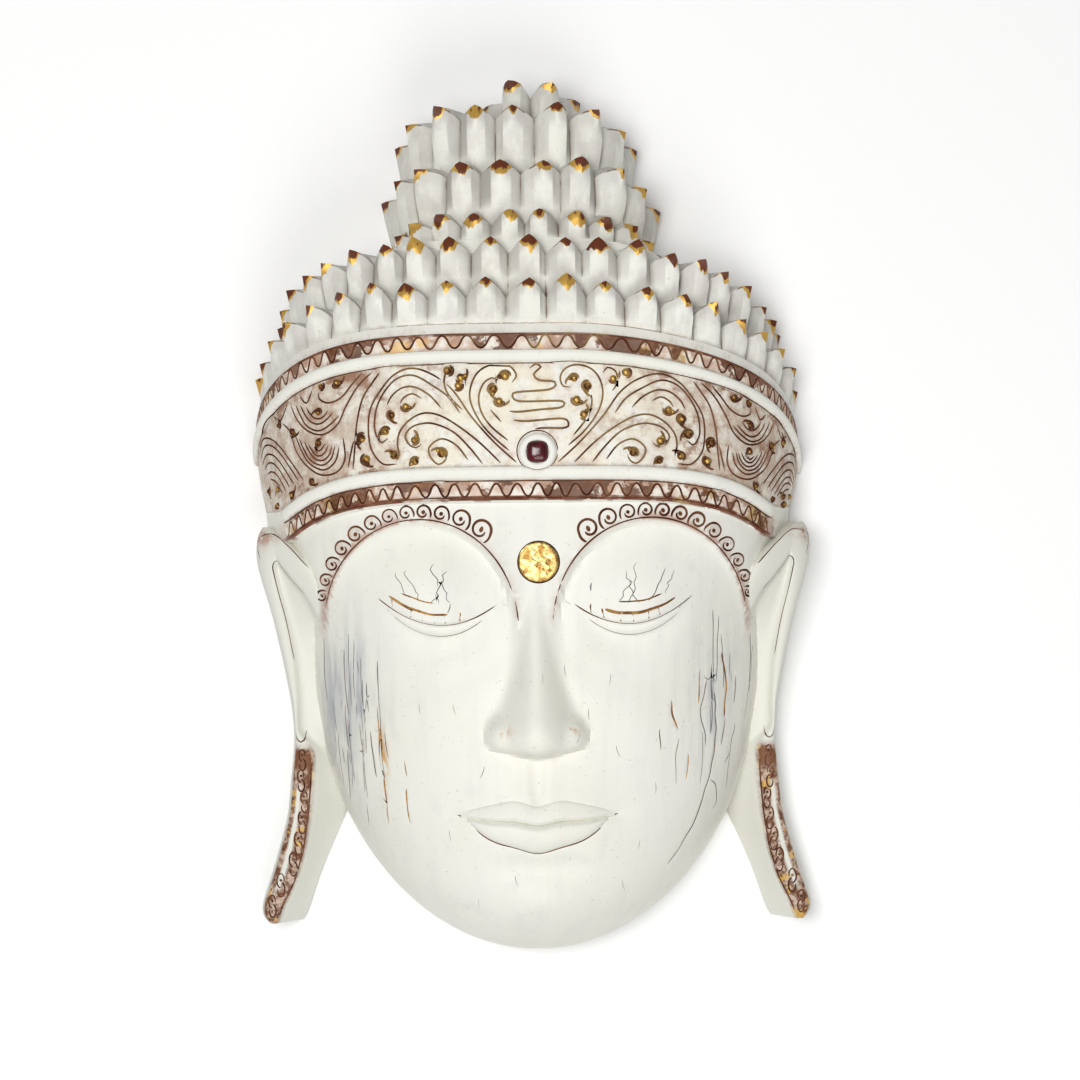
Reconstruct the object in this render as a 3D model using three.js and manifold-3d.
import * as THREE from "three";
import Module from "manifold-3d";

const wasm = await Module();
wasm.setup();

// Millimetres. The mask lies on its flat back: X runs to the viewer's right,
// Y to the crown and Z out of the face. The back plane is z = 0.

// Face: three equal thirds from hairline to chin and five eye widths across.
const CHIN = -250;
const THIRD = 118;
const NOSE_BASE = CHIN + THIRD;
const BROW = CHIN + 2 * THIRD;
const EYE = BROW - 0.28 * THIRD;
const MOUTH = NOSE_BASE - THIRD / 3;
const EYE_WIDTH = 54;
const FACE_HALF_WIDTH = 2.5 * EYE_WIDTH;
const FOREHEAD_DEPTH = 103;
const FACE_TOP = 24;

// The blank is carved in tilted rings that droop towards the back. The lower edge of the
// band stops drooping at the ears, and the upper rings sit lower on the right.
const BURIED = 10;
const SINK = 1.5;
const LEAN = 9;
const DROOP_DEPTH = 46;

// Head band, listed from its lower edge upwards.
const BAND = { a: 150, grow: 8, d: 110, slope: 0.5, x: -4, power: 4.4 };
const BAND_LOW = 10.4;
const BORDER = 10;
const RIM_LOW = 7.5;
const PANEL = 58;
const RIM_HIGH = 7;
const STRIP = 6;
const BAND_STEPS = 28;
const RIM_END = 0.915;

// Curl tiers: half width, depth, foot, tip, droop, number, reach, sideways place and plan.
// The third lies inside the crown and only fills it, so it has few sides and no reach.
const TIERS = [
  { a: 151.5, d: 109, foot: 112, tip: 131, slope: 0.5, count: 21, reach: 6.5, x: -3.5, power: 3.5 },
  { a: 140, d: 102, foot: 135, tip: 155, slope: 0.45, count: 21, reach: 6.5, x: -3, power: 3.3 },
  { a: 102, d: 92, foot: 150, tip: 158, slope: 0.36, count: 6, reach: 0, x: -4, power: 4 },
  { a: 74, d: 90, foot: 158, tip: 171, slope: 0.2, count: 12, reach: 6, x: -4, power: 4 },
  { a: 74, d: 84, foot: 174, tip: 201, slope: 0.27, count: 10, reach: 7, x: -6, power: 4 },
  { a: 64, d: 73, foot: 203, tip: 233, slope: 0.32, count: 9, reach: 7, x: -9, power: 4 },
  { a: 25, d: 54, foot: 226, tip: 247.3, slope: 0.3, count: 4, reach: 5, x: 0, power: 3 },
];
const CURL_STEPS = 4;
const TIER_ROOT = 34;

// Ears: height, outer edge, inner edge of the rim, far side of the hollow and root.
const EAR_ROWS = [
  [-3.8, 154.8, 152.3, 152.3, 150.8],
  [-5.8, 156.4, 150.8, 150.8, 147.3],
  [-8.5, 157.6, 149.8, 149.8, 144.8],
  [-13, 158.4, 147.8, 147.8, 140.3],
  [-18, 158.8, 147.3, 146.8, 134.8],
  [-22.7, 158.5, 147.1, 145.8, 130.3],
  [-27.2, 157.8, 148.4, 142.7, 125.8],
  [-34, 156, 147, 137.4, 122.8],
  [-42, 153.7, 145.4, 130.3, 120.8],
  [-50, 151.4, 143.8, 126, 119],
  [-61, 148.7, 141.1, 122, 118],
  [-80, 144.9, 137.8, 119, 115],
  [-105, 140.4, 136, 115, 112],
  [-122, 138.8, 136.4, 114, 111],
];
const EAR_X = -1.1;
const EAR_DEPTH = 6;

// Lobes: height, outer edge, inner foot and width of the front, from the ear down.
const LOBE_ROWS = [
  [-131, 139.2, 109, 11],
  [-150, 141.2, 106, 12.3],
  [-169, 143, 110, 12.6],
  [-190, 148.5, 119.5, 15],
  [-207, 153.8, 126.5, 15.5],
  [-222, 158.8, 131.5, 13],
  [-229, 158, 134, 9.5],
  [-232, 154.5, 136, 5],
];
const LOBE_Z = 31;

// Middle of the finished outline, moved to the origin at the end.
const MIDDLE_X = -3;

// Round seats and what sits in them.
const GAP = 0.3;
const URNA = { x: 2, y: -25, radius: 11.7, thick: 3.6, seat: 4.2 };
const STONE = { x: 2, y: 36.5, half: 5.8, power: 3.2, thick: 5.2, seat: 3.6 };
const COLLAR_RADIUS = 10.6;
const COLLAR_TUBE = 2.4;

// Back hollow.
const HOLLOW = { y: -78, halfX: 112, halfY: 148, depth: 70, power: 2.5 };

// Facets across half the face.
const FACE_COLUMNS = 21;

function clamp(t) {
  return Math.min(1, Math.max(0, t));
}

function step(a, b, t) {
  const s = clamp((t - a) / (b - a));
  return s * s * (3 - 2 * s);
}

function bell(x, spread) {
  return Math.exp(-((x / spread) ** 2));
}

// The larger of two heights with a rounded joint.
function blend(a, b, width) {
  const h = clamp(0.5 + (0.5 * (a - b)) / width);
  return b + (a - b) * h + width * h * (1 - h);
}

// A repeatable value between -1 and 1 for tool-cut unevenness.
function uneven(i, j) {
  const s = Math.sin(i * 12.9898 + j * 78.233) * 43758.5453;
  return 2 * (s - Math.floor(s)) - 1;
}

// The head widens and squares off under the band, which sits a little to the left.
function nearBand(y) {
  return step(-75, 0, y);
}

function faceMiddle(y) {
  return -3 * nearBand(y);
}

function faceHalfWidth(y) {
  const t = clamp((-40 - y) / 210);
  return (FACE_HALF_WIDTH + 12 * nearBand(y)) * Math.sqrt(Math.max(0, 1 - t ** 2.3));
}

function faceDepth(y) {
  const t = clamp((-60 - y) / 190);
  return (FOREHEAD_DEPTH + 2 * bell(y + 20, 60)) * Math.sqrt(Math.max(0, 1 - t ** 7));
}

// The carved lines of the face, each a height over the distance from the middle.
function browLine(X, scale) {
  const t = Math.min(1, Math.abs(X - 65) / (55 * scale));
  return Math.max(-62 + 61 * scale * Math.sqrt(1 - t * t), lidLine(X) + 7);
}

function lidLine(X) {
  const u = (X - 55) / 31;
  return EYE - 1 - 11.5 * Math.max(1 - u * u, -0.6) + 2 * u;
}

function lowerLidLine(X) {
  return lidLine(X) - Math.max(2, 6 * clamp(1 - ((X - 55) / 31) ** 2) ** 0.6);
}

function noseFloor(X) {
  return NOSE_BASE - 1.5 + 3.2 * Math.min(X / 26, 1.3) ** 2;
}

function mouthLine(X) {
  const m = Math.min(X / 43, 1.2);
  return MOUTH + 4.5 * m ** 2.2 - 1.2 * bell(X, 7.5) + 0.8 * bell(X - 15, 8);
}

function upperLip(X) {
  return 12.5 * clamp(1 - (X / 43) ** 2) ** 0.8 * (1 - 0.16 * bell(X, 7.5)) + 0.6;
}

function lowerLip(X) {
  return 15 * clamp(1 - (X / 38.5) ** 2) ** 0.62;
}

function cheeksAndChin(x, y) {
  const X = Math.abs(x);
  let f = 4.5 * bell(X - 66, 38) * bell(y + 110, 38);
  f += 5 * bell(x, 38) * bell(y - (MOUTH + 2), 28);
  f += 8.5 * bell(x, 29) * bell(y + 220, 16);
  f -= 4 * bell(x, 30) * bell(y + 197, 8);
  return f;
}

// Sockets under the brow arches and the closed lids.
function eyes(x, y) {
  const X = Math.abs(x);
  const e = Math.hypot((X - 65) / 55, (y + 62) / 61);
  const inner = step(84, 8, X);
  let f = -step(1, 0.93, e) * step(-92, -40, y) * (2 + 3.6 * inner);
  f -= step(1, 0.35, e) * step(-135, -55, y) * (2 + 5.5 * inner);
  f += 1.3 * bell(e - 1.04, 0.1) * step(-60, -25, y);
  const ball = ((X - 57) / 56) ** 2 + ((y - EYE + 3) / 46) ** 2;
  f += 13 * clamp(1 - ball) ** 2.2;
  const u = (X - 55) / 31;
  const arc = clamp(1 - u * u);
  const lid = y - lidLine(X);
  const thick = 6 * arc ** 0.6;
  f += arc * bell(lid - 2.4, 2.2) * step(-0.5, 1.5, lid);
  f -= 3.4 * arc ** 1.1 * step(1.2, -1.6, lid) * step(-26, -6, lid);
  f -= 2.4 * arc ** 1.1 * step(1, -1.8, lid + thick) * step(-32, -8, lid);
  f += 0.9 * arc * bell(lid + 0.55 * thick, 2);
  return f;
}

function noseHeight(x, y) {
  const X = Math.abs(x);
  const top = BROW - 8;
  const tip = NOSE_BASE + 9;
  const t = clamp((top - y) / (top - tip));
  const under = clamp((NOSE_BASE + 17 - y) / 17);
  const crest = 101 + 29.5 * (0.26 * t + 0.74 * t ** 1.4) - 8 * under ** 2.4;
  const w = 4.5 + 3 * (1 - t) ** 3 + 9 * t ** 3;
  const fall = 1.75 - 0.1 * t;
  let z = crest - fall * (Math.sqrt(x * x + w * w) - w);
  z -= 24 * step(0.1, -0.24, (top - y) / 90);
  const wing = Math.hypot((X - 17.5) / 11.5, (y - NOSE_BASE - 10) / 12);
  const round = 99.5 + 16.5 * Math.sqrt(clamp(1 - wing * wing)) - 40 * Math.max(wing - 1, 0);
  z = blend(z, round, 4);
  const floor = NOSE_BASE - 1.5 + 3.2 * (X / 26) ** 2;
  return z - 120 * step(floor + 4, floor - 12, y) ** 1.5;
}

function lips(x, y) {
  const X = Math.abs(x);
  const m = X / 43;
  const line = mouthLine(X);
  const up = (y - line) / Math.max(upperLip(X), 0.8);
  const low = (line - y) / Math.max(lowerLip(X), 0.8);
  let f = 0;
  if (up > 0) f = 4.4 * clamp(1 - up) ** 0.55 * clamp(up / 0.22) ** 0.5;
  if (low > 0) f = 5.2 * Math.sqrt(clamp(1 - ((low - 0.42) / 0.58) ** 2));
  f *= clamp(1 - m * m) ** 0.45;
  f -= 2 * bell(y - line, 1.3) * step(1.12, 0.9, m);
  f -= 1.8 * bell(X - 46, 8) * bell(y - MOUTH - 4.5, 6);
  const groove = 0.8 * bell(X - 7, 3) - 1.7 * bell(x, 3.4);
  f += groove * step(MOUTH + 9, MOUTH + 15, y) * step(NOSE_BASE + 1, NOSE_BASE - 5, y);
  return f;
}

// Height of the whole face over the back plane.
function faceHeight(x, y) {
  const side = Math.min(1, Math.abs(x - faceMiddle(y)) / (faceHalfWidth(y) + 1e-6));
  const base = faceDepth(y) * Math.sqrt(Math.max(0, 1 - side ** (2.35 + 2.05 * nearBand(y))));
  let z = base + (cheeksAndChin(x, y) + eyes(x, y)) * step(1, 0.84, side);
  z = blend(z, noseHeight(x, y), 3.5);
  z -= 3 * bell(Math.abs(x) - 10.5, 3.6) * bell(y - NOSE_BASE + 0.5, 2.4);
  return z + lips(x, y);
}

function solid(points, faces) {
  let volume = 0;
  const p = new THREE.Vector3();
  const q = new THREE.Vector3();
  const r = new THREE.Vector3();
  for (const [a, b, c] of faces) {
    p.fromArray(points[a]);
    q.fromArray(points[b]);
    r.fromArray(points[c]);
    volume += p.dot(q.cross(r));
  }
  const outward = volume < 0 ? faces.map(([a, b, c]) => [a, c, b]) : faces;
  return new wasm.Manifold(
    new wasm.Mesh({
      numProp: 3,
      vertProperties: new Float32Array(points.flat()),
      triVerts: new Uint32Array(outward.flat()),
    }),
  );
}

// Joins equal closed rings into one solid with a fan at each end.
function stack(rings) {
  const n = rings[0].length;
  const points = rings.flat();
  const faces = [];
  for (let r = 0; r + 1 < rings.length; r++) {
    for (let i = 0; i < n; i++) {
      const a = r * n + i;
      const b = r * n + ((i + 1) % n);
      faces.push([a, b, b + n], [a, b + n, a + n]);
    }
  }
  const last = rings.length - 1;
  for (const r of [0, last]) {
    const centre = [0, 1, 2].map((k) => rings[r].reduce((sum, p) => sum + p[k], 0) / n);
    const middle = points.push(centre) - 1;
    for (let i = 0; i < n; i++) {
      const a = r * n + i;
      const b = r * n + ((i + 1) % n);
      faces.push(r === 0 ? [b, a, middle] : [a, b, middle]);
    }
  }
  return solid(points, faces);
}

// Closes an open sheet with a wall down to a flat bottom behind the back plane.
function standOnBack(points, faces) {
  const edges = new Map();
  for (const f of faces) {
    for (let i = 0; i < 3; i++) {
      const a = f[i];
      const b = f[(i + 1) % 3];
      if (edges.has(b + "_" + a)) edges.delete(b + "_" + a);
      else edges.set(a + "_" + b, [a, b]);
    }
  }
  const all = points.slice();
  const closed = faces.slice();
  const foot = new Map();
  const centre = new THREE.Vector3();
  for (const [a] of edges.values()) {
    const [x, y] = points[a];
    foot.set(a, all.push([x, y, -BURIED]) - 1);
    centre.add(new THREE.Vector3(x, y, -BURIED));
  }
  centre.divideScalar(edges.size);
  const middle = all.push(centre.toArray()) - 1;
  for (const [a, b] of edges.values()) {
    const fa = foot.get(a);
    const fb = foot.get(b);
    closed.push([b, a, fa], [b, fa, fb], [fb, fa, middle]);
  }
  return solid(all, closed);
}

// Rows between two lines, without the lines themselves.
function between(high, low, count) {
  const rows = [];
  for (let i = 1; i <= count; i++) {
    const t = i / (count + 1);
    rows.push((X) => high(X) + (low(X) - high(X)) * t);
  }
  return rows;
}

// The grid of the face follows its carved lines, so their edges stay clean.
function faceRows() {
  const level = (y) => () => y;
  const offset = (line, by) => (X) => line(X) + by;
  const brow = (scale) => (X) => browLine(X, scale);
  const lips = (share, least) => (X) => {
    const size = share > 0 ? upperLip(X) : lowerLip(X);
    return mouthLine(X) + Math.sign(share) * Math.max(Math.abs(share) * size, least);
  };
  const underEyes = offset(lowerLidLine, -2.2);
  const noseTip = offset(noseFloor, 5);
  const bottom = level(CHIN + 0.3);
  return [
    level(FACE_TOP),
    offset(brow(1.04), 7),
    brow(1.04),
    brow(1),
    brow(0.93),
    ...between(brow(0.93), offset(lidLine, 1.3), 4),
    offset(lidLine, 1.3),
    offset(lidLine, -1.5),
    offset(lowerLidLine, 0.8),
    underEyes,
    ...between(underEyes, noseTip, 6),
    noseTip,
    offset(noseFloor, 0),
    offset(noseFloor, -6),
    ...between(offset(noseFloor, -6), lips(1, 3.2), 1),
    lips(1, 3.2),
    lips(0.85, 2.5),
    lips(0.35, 1.8),
    offset(mouthLine, 0.9),
    offset(mouthLine, -0.9),
    lips(-0.3, 1.8),
    lips(-0.9, 2.6),
    lips(-1, 3.4),
    ...between(lips(-1, 3.4), bottom, 5),
    ...[13, 7.5, 3.2].map((above) => level(CHIN + above)),
    bottom,
  ];
}

// Joins a grid of points; each cell is split along its shorter diagonal.
function gridFaces(points, columns) {
  const faces = [];
  const length = (i, j) => Math.hypot(...points[i].map((v, k) => v - points[j][k]));
  for (let a = 0; a + columns < points.length; a++) {
    if ((a + 1) % columns === 0) continue;
    const b = a + 1;
    const c = a + columns;
    const d = c + 1;
    if (length(a, d) < length(b, c)) faces.push([a, c, d], [a, d, b]);
    else faces.push([a, c, b], [b, c, d]);
  }
  return faces;
}

function faceCore() {
  const shares = [];
  for (let i = -FACE_COLUMNS; i <= FACE_COLUMNS; i++) {
    const t = Math.abs(i) / FACE_COLUMNS;
    const spread = t < 0.4 ? 0.64 * t : 0.256 + (t - 0.4) * 1.24;
    shares.push(Math.sign(i) * Math.sin((Math.PI / 2) * Math.min(spread, 0.965)));
  }
  const points = [];
  for (const row of faceRows()) {
    for (const share of shares) {
      let y = row(Math.abs(share) * FACE_HALF_WIDTH);
      for (let i = 0; i < 4; i++) y = row(Math.abs(share) * faceHalfWidth(y));
      const x = share * faceHalfWidth(y) + faceMiddle(y);
      points.push([x, y, faceHeight(x, y)]);
    }
  }
  return standOnBack(points, gridFaces(points, shares.length));
}

// How far a ring has drooped where it lies at height z over the back.
function droop(ring, y, z) {
  const most = DROOP_DEPTH + 1.2 * Math.max(0, y - BAND_LOW - BORDER - RIM_LOW);
  return -ring.slope * blend(z + SINK - ring.d, -most, 12);
}

// A point on a tilted ring of the head; out is how far it stands off the ring.
function ringPoint(ring, q, y, out) {
  const { a, d, power } = ring;
  const s = Math.sin(q);
  const z = d * Math.sqrt(Math.max(0, 1 - Math.abs(s) ** power));
  const nx = (power * Math.abs(s) ** (power - 1) * Math.sign(s)) / a;
  const nz = (2 * z) / d ** 2;
  const n = Math.hypot(nx, nz);
  const px = ring.x + a * s + (out * nx) / n;
  const pz = z + (out * nz) / n - SINK;
  const lean = LEAN * step(15, 130, px) * clamp((y - 28) / 64);
  return [px, y - droop(ring, y, pz) - lean, pz];
}

// Two corners that carry a ring on behind the back plane.
function backCorners(ring, y, out) {
  const low = y - droop(ring, y, -BURIED);
  const lean = LEAN * clamp((y - 28) / 64);
  return [
    [ring.x + ring.a + out, low - lean, -BURIED],
    [ring.x - ring.a - out, low, -BURIED],
  ];
}

function wholeRing(ring, count, heightAndOut) {
  const points = [];
  for (let i = 0; i <= count; i++) {
    const q = Math.PI * (i / count - 0.5);
    const [y, out, shift] = heightAndOut(i);
    points.push(ringPoint(ring, q + (shift || 0), y, out));
  }
  const [y, out] = heightAndOut(count);
  return points.concat(backCorners(ring, y, out));
}

function band() {
  const rows = [];
  let y = BAND_LOW;
  const add = (height, ...outs) => {
    outs.forEach((out, i) => rows.push([y + (height * (i + 1)) / outs.length, out]));
    y += height;
  };
  rows.push([y - 2, -14], [y, -1.5], [y + 0.8, 0.4]);
  add(BORDER, 0.8);
  add(0.8, 2.4);
  add(RIM_LOW - 0.8, 3.4, 2.2);
  add(0.8, 0);
  add(PANEL - 1.6, 0.8, 0.8, 0);
  add(0.8, 2.2);
  add(RIM_HIGH - 0.8, 3.4, 2);
  add(0.8, 0.4);
  add(BORDER, 0.4);
  add(STRIP, -1.6);
  rows.push([y + 6, -12]);
  const rings = rows.map(([height, out]) => {
    const t = clamp((height - BAND_LOW) / (y - BAND_LOW));
    const ring = { ...BAND, a: BAND.a + BAND.grow * t, power: BAND.power - 0.4 * t };
    const low = height > BAND_LOW && height < BAND_LOW + BORDER + RIM_LOW;
    return wholeRing(ring, BAND_STEPS, (i) => {
      const s = Math.abs(Math.sin(Math.PI * (i / BAND_STEPS - 0.5)));
      const plain = low ? step(RIM_END - 0.025, RIM_END + 0.025, s) : 0;
      return [height, out + (0.8 - out) * plain];
    });
  });
  return stack(rings);
}

// One row of chisel-cut curls. Each is a block that flares to a tip at the front of its top,
// with a groove on either side and a facet that runs back from the tip.
function tier(t, number) {
  const count = t.count * CURL_STEPS;
  const height = t.tip - t.foot;
  const level = (v, edge, side, ridge, drop, arch) => (i) => {
    const curl = Math.floor(i / CURL_STEPS);
    const place = 1 - Math.abs((2 * (i % CURL_STEPS)) / CURL_STEPS - 1);
    const rough = place === 0 ? 0 : uneven(curl + 90, number);
    const out = place === 0 ? edge : place === 1 ? ridge : side;
    const notch = drop * (1 - place) ** 1.7;
    const y = t.foot + height * v * (1 + 0.05 * rough) - notch + arch * place;
    const lean = (0.35 * rough * Math.PI) / count;
    return [y, t.reach ? out + 0.12 * out * rough : -2, lean];
  };
  const { reach } = t;
  const rings = [
    wholeRing(t, count, () => [t.foot - TIER_ROOT, -12]),
    wholeRing(t, count, level(0, -2.4, 0.2, 0.8, 0, 0)),
    wholeRing(t, count, level(1, -4, 0.42 * reach, reach, 5.5, 0)),
    wholeRing(t, count, level(1, -9, -7, -6.5, 3.5, 3.5)),
  ];
  return stack(rings);
}

// One ear with its long lobe, as a sheet of rows from the top of the rim to the cut end.
// The ear slants from its root forward of the temple to its outer edge.
function ear(side) {
  const rows = EAR_ROWS.map(([y, outer, rim, hollow, root]) => {
    const edge = 33 + 15 * step(-110, -30, y);
    const slant = 0.1 + 0.65 * step(-75, -20, y);
    const top = step(-2, -9, y);
    const z = (x) => edge + slant * (outer - x) - 5 * (1 - top);
    const depth = EAR_DEPTH * step(-21, -28, y);
    const floor = depth + 0.8;
    const wall = Math.min(1.8, (rim - hollow) / 3);
    return [
      [outer, y, edge - 6],
      [outer - 1.2, y, z(outer)],
      [(outer + rim) / 2, y, z((outer + rim) / 2) + 1.2],
      [rim, y, z(rim)],
      [rim - wall - 0.1, y, z(rim) - floor + 0.8],
      [hollow + wall - 0.2, y, z(hollow) - floor + 0.8],
      [hollow - 0.3, y, z(hollow) - (y < -60 ? depth : 0)],
      [root, y, z(root) - (y < -60 ? depth : 0)],
      [root - 3, y, z(root) - 9],
    ];
  });
  for (const [y, outer, foot, front] of LOBE_ROWS) {
    const inner = outer - front;
    const row = [
      [outer, y, LOBE_Z - 6],
      [outer - Math.min(1.6, front / 3), y, LOBE_Z],
      [outer - front * 0.45, y, LOBE_Z + 0.5],
      [inner, y, LOBE_Z],
    ];
    for (let i = 1; i <= 5; i++) {
      const t = 0.05 + 0.19 * i;
      row.push([inner + (foot - inner) * t, y, LOBE_Z + (2 - LOBE_Z) * t]);
    }
    rows.push(row);
  }
  const points = rows.flat().map(([x, y, z]) => [EAR_X + side * x, y, z]);
  return standOnBack(points, gridFaces(points, rows[0].length));
}

function outline(x, y, halfX, halfY, power, steps) {
  const points = [];
  for (let i = 0; i < steps; i++) {
    const angle = (2 * Math.PI * i) / steps;
    const c = Math.cos(angle);
    const s = Math.sin(angle);
    const px = x + halfX * Math.sign(c) * Math.abs(c) ** (2 / power);
    const py = y + halfY * Math.sign(s) * Math.abs(s) ** (2 / power);
    points.push([px, py]);
  }
  return points;
}

// A round or rounded-square turned shape from pairs of height and size.
function turned(x, y, power, steps, profile) {
  return stack(
    profile.map(([z, half]) => outline(x, y, half, half, power, steps).map((p) => [...p, z])),
  );
}

function backHollow() {
  const { y, halfX, halfY, depth, power } = HOLLOW;
  const rings = [-BURIED, 0.12, 0.34, 0.58, 0.8, 0.95].map((level) => {
    const z = level < 0 ? level : depth * level;
    const shrink = level < 0 ? 1.01 : (1 - level ** 2.4) ** 0.42;
    return outline(0, y, halfX * shrink, halfY * shrink, power, 30).map((p) => [...p, z]);
  });
  return stack(rings);
}

function box(minZ, maxZ) {
  const reach = 600;
  const square = [
    [-reach, -reach],
    [reach, -reach],
    [reach, reach],
    [-reach, reach],
  ];
  return stack([minZ, maxZ].map((z) => square.map((p) => [...p, z])));
}

const stoneFloor = BAND.d - SINK - 0.5;
const collarTop = stoneFloor + 2 * COLLAR_TUBE;
const urnaFace = faceHeight(URNA.x, URNA.y) - 1.2;

function collar() {
  const rings = [[stoneFloor - 8, COLLAR_RADIUS]];
  for (let i = 0; i <= 4; i++) {
    const angle = (Math.PI * i) / 4;
    const half = COLLAR_RADIUS - COLLAR_TUBE + COLLAR_TUBE * Math.cos(angle);
    rings.push([collarTop - COLLAR_TUBE + COLLAR_TUBE * Math.sin(angle), half]);
  }
  return turned(STONE.x, STONE.y, 2, 24, rings);
}

function carvedMask() {
  let body = faceCore().add(band());
  TIERS.forEach((t, number) => {
    body = body.add(tier(t, number));
  });
  body = body.add(ear(1)).add(ear(-1)).add(collar());
  body = body.subtract(box(-200, 0)).subtract(backHollow());
  const urnaSeat = turned(URNA.x, URNA.y, 2, 28, [
    [urnaFace - URNA.seat, URNA.radius + GAP],
    [urnaFace + 20, URNA.radius + GAP],
  ]);
  const stoneSeat = turned(STONE.x, STONE.y, STONE.power, 20, [
    [collarTop - STONE.seat, STONE.half + GAP],
    [collarTop + 20, STONE.half + GAP],
  ]);
  return body.subtract(urnaSeat).subtract(stoneSeat);
}

function urnaDisc() {
  const bottom = urnaFace - URNA.seat + GAP;
  const { radius, thick } = URNA;
  return turned(URNA.x, URNA.y, 2, 28, [
    [bottom, radius],
    [bottom + thick - 1, radius],
    [bottom + thick, radius - 1.2],
    [bottom + thick + 0.8, radius * 0.45],
  ]);
}

function bandStone() {
  const bottom = collarTop - STONE.seat + GAP;
  const { half, thick, power } = STONE;
  return turned(STONE.x, STONE.y, power, 20, [
    [bottom, half],
    [bottom + thick * 0.55, half],
    [bottom + thick * 0.85, half * 0.8],
    [bottom + thick, half * 0.4],
  ]);
}

function node(name, shape, color, roughness, metalness) {
  const made = shape.getMesh();
  const geometry = new THREE.BufferGeometry();
  geometry.setAttribute("position", new THREE.BufferAttribute(made.vertProperties, 3));
  geometry.setIndex(new THREE.BufferAttribute(made.triVerts, 1));
  geometry.computeVertexNormals();
  const material = new THREE.MeshStandardMaterial({ color, roughness, metalness });
  const mesh = new THREE.Mesh(geometry, material);
  mesh.name = name;
  return mesh;
}

const mask = new THREE.Group();
mask.name = "mask";
mask.position.x = -MIDDLE_X;
mask.add(node("carved_mask", carvedMask(), 0xe9e6da, 0.5, 0));
mask.add(node("urna_disc", urnaDisc(), 0xc0912e, 0.35, 1));
mask.add(node("band_stone", bandStone(), 0x4a0509, 0.12, 0));

export default mask;
